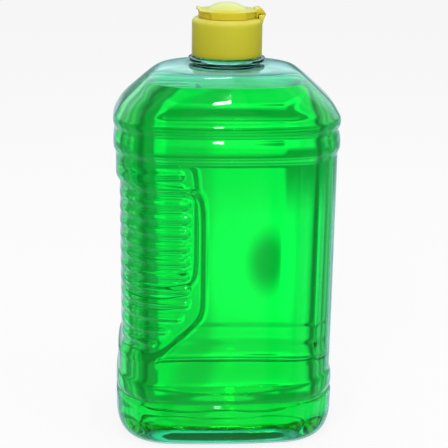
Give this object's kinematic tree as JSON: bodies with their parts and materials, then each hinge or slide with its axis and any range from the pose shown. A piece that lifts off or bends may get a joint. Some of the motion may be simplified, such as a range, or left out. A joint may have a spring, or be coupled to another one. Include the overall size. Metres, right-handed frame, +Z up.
{
  "type": "cologne bottle",
  "caption": "Clear rounded-rectangular bottle of green liquid with a ribbed side grip, beaded body, recessed label panels and a yellow flip-top screw cap.",
  "frame": {"origin": "centre of the bottle's standing ring, on the surface it stands on", "axes": "+Z up along the neck, -Y towards the front label panel, -X towards the ribbed grip"},
  "size_m": [0.098, 0.074, 0.1913],
  "materials": {
    "clear_plastic": "clear glossy blown plastic",
    "green_liquid": "clear green liquid",
    "liner_foam": "soft foamed sheet",
    "cap_plastic": "satin moulded plastic",
    "lid_plastic": "satin moulded plastic"
  },
  "bodies": {
    "bottle_body": {"bottle": "clear_plastic", "liquid": "green_liquid"},
    "liner_body": {"sealing_liner": "liner_foam"},
    "cap_body": {"screw_cap": "cap_plastic"},
    "lid_body": {"flip_lid": "lid_plastic"}
  },
  "joints": [
    {"name": "cap_lift", "type": "slide", "parent": "bottle_body", "child": "liner_body", "axis": [0, 0, 1], "range_m": [0, 0.00634]},
    {"name": "cap_turn", "type": "hinge", "parent": "liner_body", "child": "cap_body", "pos_m": [0, 0, 0.176], "axis": [0, 0, 1], "range_deg": [0, 540.01]},
    {"name": "lid_hinge", "type": "hinge", "parent": "cap_body", "child": "lid_body", "pos_m": [0.0163, 0, 0.18684], "axis": [0, 1, 0], "range_deg": [0, 160]}
  ],
  "couplings": [
    {"joint": "cap_turn", "follows": "cap_lift", "rad_per_m": 1485.4}
  ]
}
